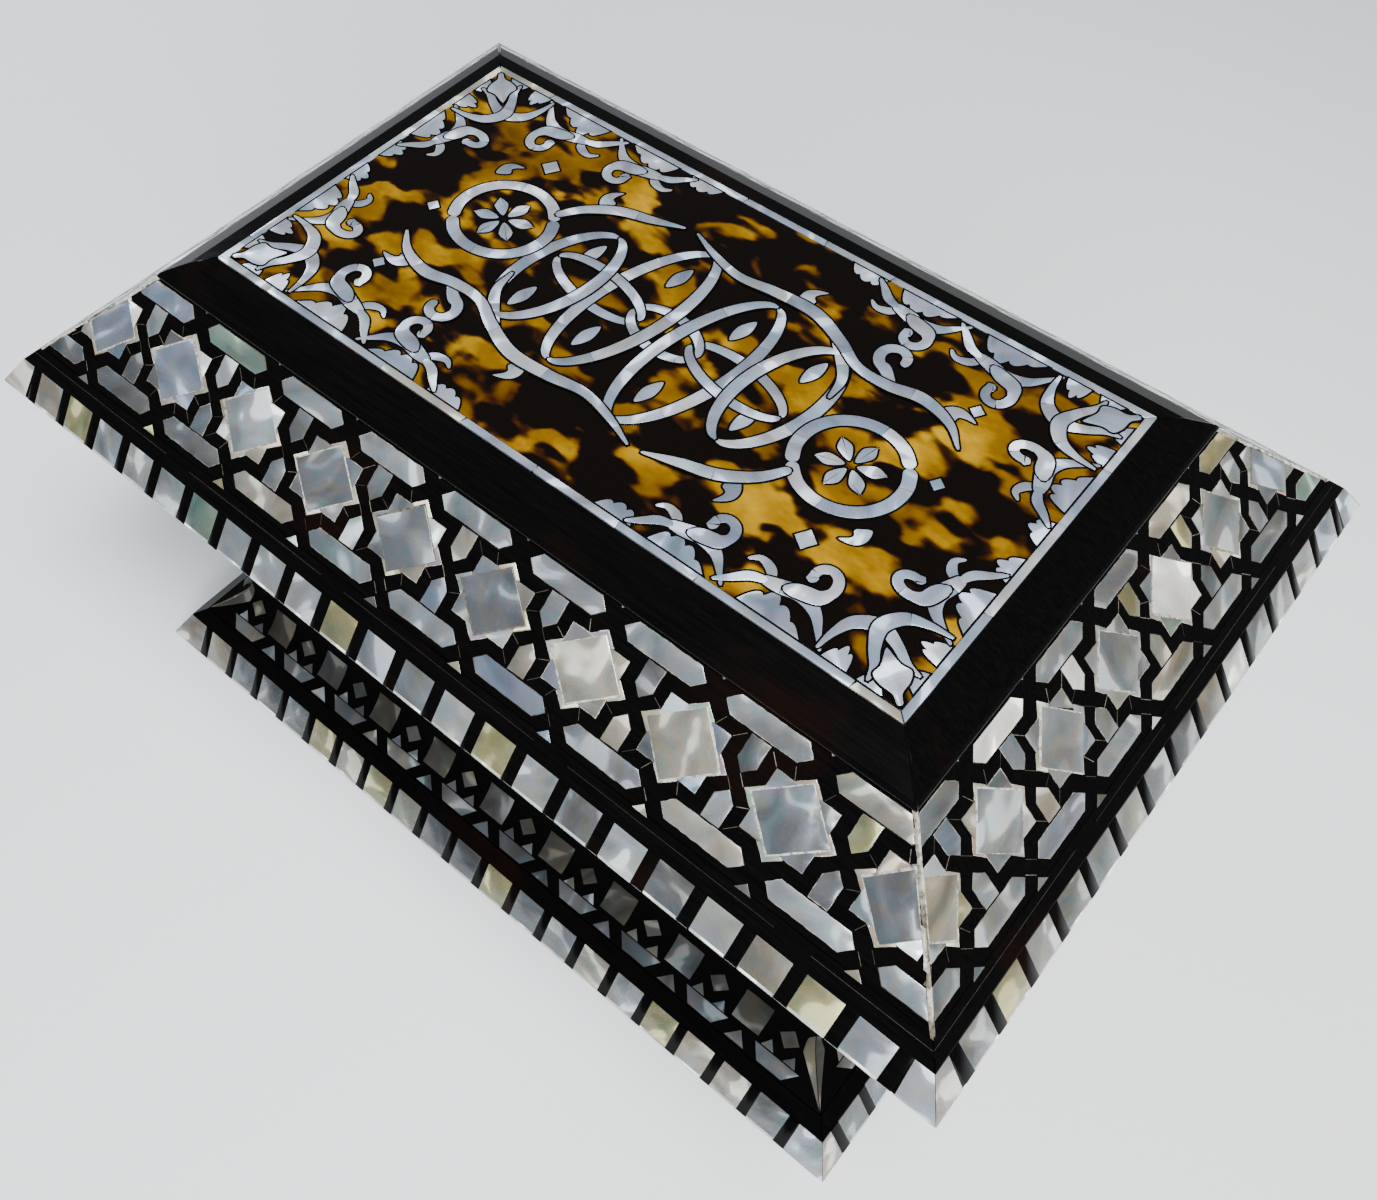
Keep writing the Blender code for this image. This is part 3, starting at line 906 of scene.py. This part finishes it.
def spline(points, per_span=10):
    """Catmull-Rom curve through (x, y, width) points."""
    pts = [Vector(p) for p in points]
    pts = [pts[0] * 2 - pts[1]] + pts + [pts[-1] * 2 - pts[-2]]
    out = []
    for i in range(1, len(pts) - 2):
        p0, p1, p2, p3 = pts[i - 1 : i + 3]
        slope = p2 - p0
        bend = 2 * p0 - 5 * p1 + 4 * p2 - p3
        twist = 3 * p1 - p0 - 3 * p2 + p3
        for k in range(per_span):
            t = k / per_span
            out.append(0.5 * (2 * p1 + slope * t + bend * t * t + twist * t**3))
    out.append(pts[-2])
    return out


def resample(curve, step):
    """The same curve with its points a step apart."""
    out = [curve[0]]
    carried = 0.0
    for a, b in zip(curve, curve[1:]):
        length = (b.xy - a.xy).length
        while carried + length >= step:
            f = (step - carried) / length
            a = a.lerp(b, f)
            out.append(a)
            length = (b.xy - a.xy).length
            carried = 0.0
        carried += length
    if (out[-1].xy - curve[-1].xy).length > step * 0.3:
        out.append(curve[-1])
    return out


def round_ends(curve):
    """Close both ends of a ribbon in a half circle, by narrowing its last stretch."""
    for end in (False, True):
        run = curve[::-1] if end else curve
        radius = max(0.3, run[0].z / 2)
        extra = []
        for share in (0.0, 0.08, 0.25, 0.5, 0.8):
            reach = share * radius
            a = run[0]
            b = run[1]
            f = reach / max(0.05, (b.xy - a.xy).length)
            point = a.lerp(b, f)
            point.z = max(0.3, 2 * math.sqrt(radius**2 - (radius - reach) ** 2))
            extra.append(point)
        skip = 1
        while skip < len(run) - 2 and (run[skip].xy - run[0].xy).length <= radius:
            skip += 1
        run = extra + run[skip:]
        curve = run[::-1] if end else run
    return curve


def ribbon_outline(curve, grow=0.0):
    left = []
    right = []
    last = len(curve) - 1
    for i, p in enumerate(curve):
        d = (curve[min(i + 1, last)].xy - curve[max(i - 1, 0)].xy).normalized()
        n = Vector((-d.y, d.x))
        half = max(0.15, p.z / 2) + grow
        shift = 0.0
        if grow and i in (0, last):
            shift = grow if i else -grow
        left.append(p.xy + n * half + d * shift)
        right.append(p.xy - n * half + d * shift)
    return left, right


SCROLL_TONES = ((0.29, 0.33, 0.40), (0.33, 0.37, 0.43), (0.25, 0.29, 0.36), (0.40, 0.43, 0.47))


class Scrollwork:
    """Nacre scrolls let into the panel, each edged with a line of black mastic."""

    ROOT = TOP_Z - 0.3       # the foot of every piece, under the panel's face
    STEP = 0.8               # between points along a scroll

    def __init__(self, rng):
        self.rng = rng
        self.pearl = Builder()
        self.mastic = Builder()
        self.count = 0

    def height(self, level):
        """The top of a piece: no two neighbours share a plane."""
        self.count += 1
        return TOP_Z + 0.10 + level * 0.07 + (self.count % 6) * 0.006

    def tone(self, least, most):
        gain = self.rng.uniform(least, most)
        return tuple(c * gain for c in self.rng.choice(SCROLL_TONES))

    def strip(self, builder, curve, top, tone, seed, grow=0.0, bevel=0.10):
        """A ribbon with softened arrises, as a row of six-sided sections."""
        rows = []
        for a, b in zip(*ribbon_outline(curve, grow)):
            d = (b - a).normalized() * min(bevel, (b - a).length * 0.3)
            low = top - bevel * 0.6
            row = ((a, self.ROOT), (a, low), (a + d, top), (b - d, top), (b, low), (b, self.ROOT))
            rows.append([(p.x, p.y, z) for p, z in row])
        builder.solid(rows, tone, seed)

    def ribbon(self, points, level):
        """A scroll of changing width, made of lengths butted end to end."""
        curve = round_ends(resample(spline(points), self.STEP))
        top = self.height(level)
        self.strip(self.mastic, curve, top - 0.04, MASTIC_TONE, 0.5, grow=MASTIC_EDGE, bevel=0.05)
        start = 0
        while start < len(curve) - 1:
            end = start + int(self.rng.uniform(18, 34) / self.STEP)
            if end > len(curve) - 8:
                end = len(curve) - 1
            piece = [p.copy() for p in curve[start : end + 1]]
            if start:
                piece[0].xy += (piece[1].xy - piece[0].xy).normalized() * 0.12
            self.strip(self.pearl, piece, top, self.tone(0.85, 1.12), self.rng.random())
            start = end

    def leaf(self, outline, level=0, smooth=True):
        """A cut leaf or flower from a closed outline."""
        if smooth:
            curve = spline([(x, y, 1.0) for x, y in outline + outline[:3]], 6)
            outline = [(p.x, p.y) for p in curve[6 : 6 + 6 * len(outline)]]
        outline = tidy_outline(outline, 0.05)
        top = self.height(level)
        self.pearl.slab(outline, top, self.tone(0.9, 1.1), self.rng.random(), 0.15, self.ROOT)
        edge = inset(outline, -MASTIC_EDGE)
        self.mastic.slab(edge, top - 0.04, MASTIC_TONE, 0.5, 0.04, self.ROOT)

    def finish(self, stem):
        add_piece(f"{stem}_nacre", self.pearl.bm, "nacre", "lid")
        add_piece(f"{stem}_mastic", self.mastic.bm, "mastic", "lid")


def scallop(start, end, height, lobes, lean):
    """Half a leaf standing on the fillet: an arch of pointed lobes from start to end."""
    base = 0.25
    outline = [(end, base), (start, base)]
    for lobe in range(lobes):
        swell = 1.0 + 0.25 * math.sin(2.4 * lobe + start)
        for step in range(1, 7):
            share = (lobe + step / 6) / lobes
            if step == 6 and lobe == lobes - 1:
                break
            skewed = share ** (math.log(0.5) / math.log(lean))
            arch = math.sin(math.pi * skewed) ** 0.7
            bulge = math.sin(math.pi * step / 6) ** 0.8
            x = start + (end - start) * share
            outline.append((x, base + height * arch * (0.76 + 0.24 * bulge * swell) + 0.4 * bulge))
    return outline[::-1]


def curl(x, y, start_radius, end_radius, start, sweep, stroke, end_stroke):
    """A spiral stroke about (x, y), from one radius to another."""
    steps = max(6, int(abs(sweep) / 24))
    points = []
    for step in range(steps + 1):
        f = step / steps
        angle = math.radians(start + sweep * f)
        radius = start_radius + (end_radius - start_radius) * f
        width = stroke + (end_stroke - stroke) * f
        points.append((x + radius * math.cos(angle), y + radius * math.sin(angle), width))
    return points


def scroll_unit(start, length, depth):
    """One scroll of a spray: a swelling stem with a hooked branch and a leaf below."""
    k = length / 46
    d = depth / 24

    def fit(points):
        return [(start + x * k, y * d, w) for x, y, w in points]

    stem = [(0, 1.0, 1.0), (4, 5.4, 1.9), (10, 11.2, 3.8), (18, 14.0, 5.6)]
    stem += [(27, 12.2, 5.0), (34, 11.0, 2.6)]
    tail = [(31, 11.6, 2.4), (37, 9.6, 3.4), (42, 5.2, 2.6), (47, 1.0, 1.0)]
    hook = [(25, 12.4, 3.2), (19.5, 14.6, 5.4), (13.0, 16.4, 5.2)]
    hook += curl(16.2, 22.6, 6.3, 3.3, 205, -225, 3.6, 3.0)
    hook.append((17.6, 20.6, 4.2))
    barb = [(29.4, 12.0, 2.2), (33.0, 15.8, 3.4), (38.4, 17.2, 2.4), (42.4, 14.6, 0.9)]
    leaf = scallop(start + 8 * k, start + 35 * k, 9.0 * d, 4, 0.62)
    return [fit(stem), fit(hook), fit(tail), fit(barb)], [leaf]


def spray(inner_x, inner_y, sx, sy, scroll):
    """Scrolls that run both ways along the fillet from one corner."""

    def along_x(points):
        return [(sx * (inner_x - p[0]), sy * (inner_y - p[1]), *p[2:]) for p in points]

    def along_y(points):
        return [(sx * (inner_x - p[1]), sy * (inner_y - p[0]), *p[2:]) for p in points]

    tendril = [(1.6, 12.4, 1.0), (6.6, 13.4, 2.6), (12.4, 17.0, 3.6), (19.4, 19.4, 5.0)]
    tendril += [(26.0, 15.6, 4.4), (28.6, 9.0, 2.6), (29.4, 1.4, 1.0)]
    for place, units, tail in (
        (along_x, ((28, 38, 23), (63, 36, 19)), (97, 111)),
        (along_y, ((27, 31, 22),), (56, 67)),
    ):
        level = 0 if place is along_x else 1
        for start, length, depth in units:
            ribbons, leaves = scroll_unit(start, length, depth)
            for k, ribbon in enumerate(ribbons):
                scroll.ribbon(place(ribbon), 1 + (k == 1) - (k == 3))
            for outline in leaves:
                scroll.leaf(place(outline), smooth=False)
        scroll.ribbon(place(tendril), 2 + level)
        scroll.leaf(place(scallop(6.4, 15.0, 4.0, 3, 0.6)), smooth=False)
        scroll.leaf(place(scallop(18.4, 27.0, 7.0, 3, 0.44)), smooth=False)
        scroll.leaf(place(scallop(*tail, 5.6, 3, 0.42)), smooth=False)
    half = [(1.6, 0.9), (5.0, 1.5), (8.4, 4.4), (12.0, 5.6), (14.6, 2.9), (19.6, 0.5)]
    flower = half + flipped(half[::-1], 1, -1)
    root2 = math.sqrt(2)
    scroll.leaf(along_x([((d - n) / root2, (d + n) / root2) for d, n in flower]), 5)


def corner_sprays():
    scroll = Scrollwork(random.Random("sprays"))
    inner_x = HALF_X - FILLET_WIDTH - 0.2
    inner_y = HALF_Y - FILLET_WIDTH - 0.2
    for sx, sy in QUARTERS:
        spray(inner_x, inner_y, sx, sy, scroll)
    scroll.finish("corner_spray")


def pointed_ring(length, width, stroke):
    """The two halves of a pointed oval, each swelling towards its middle."""
    halves = []
    for side in (-1, 1):
        half = []
        for step in range(13):
            f = step / 12
            swell = math.sin(math.pi * f)
            u = side * width * swell**1.15
            half.append((u, -length * math.cos(math.pi * f), 1.2 + stroke * swell**0.6))
        halves.append(half)
    return halves


def comma_leaf(x, y, size, turn):
    """A split leaf: a full lobe that draws out into a bent tip."""
    shape = [(0, 0), (0.30, 0.22), (0.62, 0.24), (0.88, 0.06), (1.06, -0.30)]
    shape += [(0.78, -0.16), (0.60, -0.14), (0.46, -0.30), (0.26, -0.24)]
    return placed([(u * size, v * size) for u, v in shape], x, y, math.radians(turn))


def petal(x, y, near, far, wide, turn):
    middle = near + (far - near) * 0.58
    shape = [(near, 0), (middle, wide / 2), (far, 0.18), (far, -0.18), (middle, -wide / 2)]
    return placed(shape, x, y, math.radians(turn))


RING_LEAN = math.radians(-9)
# Rings of the knot, as (x, y, half length, half width).
UPRIGHT_RINGS = ((-16.0, 3.0, 38.0, 13.0), (-46.0, -2.0, 28.5, 12.5))
LYING_RING = (-31.0, 2.0, 21.0, 8.0)
MIDDLE_RING = (0.0, 0.0, 15.0, 8.5)
ROSETTE = (-80.0, 7.0)
ROSETTE_RADIUS = 18.6


def centre_ribbons():
    """Half of the centre ornament; the other half is the same, turned by 180 degrees.

    It is a knot of pointed rings with vine stems and rosettes. It holds no letters.
    """
    ribbons = []
    for x, y, length, width in UPRIGHT_RINGS:
        near, far = pointed_ring(length, width, 3.4)
        ribbons.append((placed(near, x, y, RING_LEAN), 1))
        ribbons.append((placed(far, x, y, RING_LEAN), 4))
    across = RING_LEAN + math.pi / 2
    x, y, length, width = LYING_RING
    near, far = pointed_ring(length, width, 2.6)
    ribbons.append((placed(near, x, y, across), 0))
    ribbons.append((placed(far, x, y, across), 3))
    x, y, length, width = MIDDLE_RING
    ribbons.append((placed(pointed_ring(length, width, 2.6)[1], x, y, across), 2))
    for start in (36, 216):
        ring = curl(*ROSETTE, ROSETTE_RADIUS, ROSETTE_RADIUS, start, 180, 4.4, 4.6)
        ribbons.append((ring, 2))
    vine = [(-102, -20, 1.0), (-94, -27.5, 3.2), (-82, -31, 4.8), (-70, -28.5, 4.4)]
    vine += [(-58, -29, 3.8), (-47, -35, 4.4), (-33, -40.5, 5.0), (-17, -40, 4.6)]
    vine += [(-3, -38, 3.6), (10, -41, 2.8), (22, -46, 1.0)]
    hook = [(-72, -28.8, 2.4), (-65.5, -34, 4.4)]
    hook += curl(-65.6, -40.4, 6.0, 3.0, 62, -270, 4.0, 3.2)
    crook = [(-42, -37.6, 2.4), (-50, -30.5, 4.0), (-57, -21.5, 3.4), (-58.6, -11.5, 1.2)]
    stem = [(-67, 20.6, 3.0), (-61, 29.5, 4.0), (-51, 37, 4.6), (-39, 41.0, 3.8), (-27, 45.5, 1.0)]
    return ribbons + [(vine, 5), (hook, 4), (crook, 4), (stem, 4)]


def centre_leaves():
    leaves = [petal(*ROSETTE, 1.9, 11.6, 5.0, 60 * k + 18) for k in range(6)]
    leaves.append(comma_leaf(-88, -29.0, 12, 214))
    leaves.append(comma_leaf(-57, 34.0, 11, 100))
    leaves.append(comma_leaf(-26, -40.5, 11, 262))
    leaves.append(comma_leaf(-99.5, 24, 10, 70))
    for x, y, length, _ in UPRIGHT_RINGS:
        for up in (-1, 1):
            middle = length * 0.56 * up
            drop = [(0, middle - 6.5), (2.5, middle), (0, middle + 6.5), (-2.5, middle)]
            leaves.append(placed(drop, x, y, RING_LEAN))
    return leaves


# Small diamonds between the scrolls, as (x, y, radius).
CENTRE_DIAMONDS = [(-86, 39.5, 3.8), (-104.5, -4.0, 2.6), (-98, -38, 2.6)]


def centre_ornament():
    scroll = Scrollwork(random.Random("ornament"))
    for turn in (1, -1):
        for points, level in centre_ribbons():
            scroll.ribbon(flipped(points, turn, turn), level)
        for outline in centre_leaves():
            scroll.leaf(flipped(outline, turn, turn))
        for x, y, r in CENTRE_DIAMONDS:
            scroll.leaf(placed(diamond(r, r * 1.1), x * turn, y * turn, 0.2), smooth=False)
    scroll.finish("centre_ornament")


# ----------------------------------------------------------- linings, screws


def lining_pad(name, node, body, axis, sign):
    """Velvet over thin wadding: flat at the back, crowned and soft-edged in front."""
    low, high = (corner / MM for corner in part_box(node))
    a, b = (i for i in range(3) if i != axis)
    back = low[axis] if sign > 0 else high[axis]
    depth = high[axis] - low[axis]
    steps_a = 56
    steps_b = 34
    rng = random.Random(name)
    phase = [rng.uniform(0, 6.28) for _ in range(2)]
    rings = []
    for i in range(steps_a + 1):
        pa = low[a] + (high[a] - low[a]) * i / steps_a
        front = []
        rear = []
        for j in range(steps_b + 1):
            pb = low[b] + (high[b] - low[b]) * j / steps_b
            edge = min(pa - low[a], high[a] - pa, pb - low[b], high[b] - pb)
            crown = 1 - math.exp(-edge / 3.0)
            ripple = 0.12 * math.sin(pa * 0.07 + phase[0]) * math.sin(pb * 0.09 + phase[1])
            lift = depth * (0.55 + 0.45 * crown) + (0.15 + ripple) * crown
            for row, height in ((front, lift), (rear, 0.0)):
                point = [0.0, 0.0, 0.0]
                point[a] = pa
                point[b] = pb
                point[axis] = back + sign * height
                row.append(point)
        rings.append(front + rear[::-1])
    bm = bmesh.new()
    stack(bm, rings)
    obj = add_piece(name, bm, "velvet", body, [node], sharp=50)


def linings():
    lining_pad("velvet_floor", "floor_lining", "case", 2, 1)
    for side, (out, _, _, _) in SIDES.items():
        axis = 0 if out.x else 1
        lining_pad(f"velvet_{side}", f"wall_lining_{side}", "case", axis, -out[axis])
    lining_pad("velvet_lid", "lid_lining", "lid", 2, -1)


def screw(bm, centre, axis, turn):
    """A countersunk head: a low dome in two halves, with the slot between."""
    radius = 2.1
    slot = 0.28
    z = Vector(axis)
    x = z.orthogonal().normalized()
    y = z.cross(x)
    c = math.cos(turn)
    s = math.sin(turn)
    x, y = x * c + y * s, y * c - x * s
    for sign in (-1, 1):
        arc = []
        for i in range(11):
            angle = math.pi * i / 10
            px = math.cos(angle) * radius
            if i in (0, 10):
                px = math.copysign(math.sqrt(radius**2 - slot**2), px)
            arc.append((px, max(slot, math.sin(angle) * radius)))
        rings = []
        for shrink, height in ((1.0, -0.4), (1.0, 0.08), (0.8, 0.24), (0.45, 0.32)):
            level = Vector(centre) + z * height
            far = y * sign
            rings.append([level + x * px * shrink + far * max(slot, py * shrink) for px, py in arc])
        stack(bm, rings)
    # The floor of the slot.
    angles = [math.tau * i / 16 for i in range(16)]
    disc = [Vector(centre) + (x * math.cos(t) + y * math.sin(t)) * radius * 0.97 for t in angles]
    stack(bm, [[point + z * height for point in disc] for height in (-0.4, 0.02)])


def screws():
    """Three screws in each hinge leaf, the middle one staggered."""
    rng = random.Random("screws")
    for side in ("left", "right"):
        for part in ("case", "lid"):
            low, high = (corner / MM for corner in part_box(f"hinge_leaf_{part}_{side}"))
            middle = (low.x + high.x) / 2
            bm = bmesh.new()
            for dx, stagger in ((-15.5, 0.0), (0.0, 4.0), (15.5, 0.0)):
                if part == "case":
                    centre = (middle + dx, low.y + 1.5, low.z + 8.0 + stagger)
                    axis = (0, 1, 0)
                else:
                    centre = (middle + dx, high.y - 8.0 + stagger, high.z - 1.5)
                    axis = (0, 0, -1)
                screw(bm, centre, axis, rng.uniform(0, math.pi))
            add_piece(f"hinge_screws_{part}_{side}", bm, "brass", part)


def hairlines():
    """Fine glue lines that run along the ebony strip of the rim."""
    for side in SIDES:
        rng = random.Random(f"hairline {side}")
        surface = Surface(side, STRIP_PATH)
        reach = surface.half_along + 54.5
        x = -reach
        while x < reach:
            step = rng.uniform(40, 110)
            y = 2.1 + rng.uniform(-0.1, 0.1)
            stop = min(x + step * 0.86, reach)
            outline = line_piece((x, y), (stop, y + rng.uniform(-0.1, 0.1)), 0.09)
            surface.thin(surface.trim(outline), rng.choice(GLUE_TONES))
            x += step
        surface.finish(f"rim_hairline_{side}", "lid")


# ------------------------------------------------------------------- set up


def dress_cad_nodes():
    ebony = ("wall_inlay", "plinth_rail", "plinth_band", "top_frame", "slope_inlay", "rim_moulding")
    looks = (
        ("cedar", ("bottom_board", "wall_", "slope_board", "soffit_board", "lid_top_board")),
        ("mastic", ("plinth_cove",)),
        ("ebony", ebony),
        ("tortoiseshell", ("tortoiseshell",)),
        ("brass", ("hinge_",)),
        ("velvet", ("wall_lining", "floor_lining", "lid_lining")),
        ("nacre", ("pearl_fillet",)),
    )
    for name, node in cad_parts.items():
        for material, stems in looks:
            if name.startswith(stems):
                node.data.materials.clear()
                node.data.materials.append(MATS[material])


def area_light(name, place, size, power, colour):
    """A soft rectangular light turned to the middle of the box."""
    data = bpy.data.lights.new(name, "AREA")
    data.shape = "RECTANGLE"
    data.size, data.size_y = size
    data.energy = power
    data.color = colour
    obj = bpy.data.objects.new(name, data)
    obj.location = place
    aim = Vector((0, 0, 0.15)) - Vector(place)
    obj.rotation_euler = aim.to_track_quat("-Z", "Y").to_euler()
    bpy.context.scene.collection.objects.link(obj)


def build_set():
    scene = bpy.context.scene
    bpy.ops.mesh.primitive_plane_add(size=8.0, location=(0, 0, 0))
    floor = bpy.context.object
    floor.name = "floor"
    ground = Nodes("pale_floor", (0.94, 0.94, 0.935))
    preset(ground.shader, Roughness=0.9)
    floor.data.materials.append(ground.mat)
    world = bpy.data.worlds.new("studio")
    world.use_nodes = True
    background = world.node_tree.nodes["Background"]
    preset(background, Color=(0.90, 0.95, 1.0, 1.0), Strength=0.13)
    scene.world = world
    area_light("overhead", (0.42, -0.30, 1.5), (0.6, 0.5), 40, (0.96, 0.98, 1.0))
    area_light("window", (1.0, -1.1, 0.95), (0.7, 0.5), 22, (0.90, 0.95, 1.0))
    area_light("left_sky", (-1.45, 0.15, 0.75), (0.5, 0.4), 12, (0.80, 0.90, 1.0))


def build_camera():
    scene = bpy.context.scene
    data = bpy.data.cameras.new("camera")
    data.sensor_width = 36.0
    data.lens = 33.99
    data.shift_x = 0.0778
    data.shift_y = 0.0150
    data.clip_start = 0.01
    camera = bpy.data.objects.new("camera", data)
    yaw = 131.15
    pitch = 56.91
    roll = -0.38
    place = Matrix.Translation((0.18833, -0.25897, 0.54883))
    for angle, axis in ((yaw - 90, "Z"), (90 - pitch, "X"), (roll, "Z")):
        place = place @ Matrix.Rotation(math.radians(angle), 4, axis)
    camera.matrix_world = place
    scene.collection.objects.link(camera)
    scene.camera = camera


build_camera()
build_set()
dress_cad_nodes()
for side_name in SIDES:
    lid_slope(side_name)
    wall_face(side_name)
    cove_face(side_name)
    fillet(side_name)
    frame_mitres(side_name)
    square_band(side_name, RIM_PATH, "rim", 17.5, (23, 15), 4.3, "lid")
    square_band(side_name, BAND_PATH, "band", 18.45, (20, 13), 4.4, "case", 0.95)
hairlines()
corner_sprays()
centre_ornament()
linings()
screws()
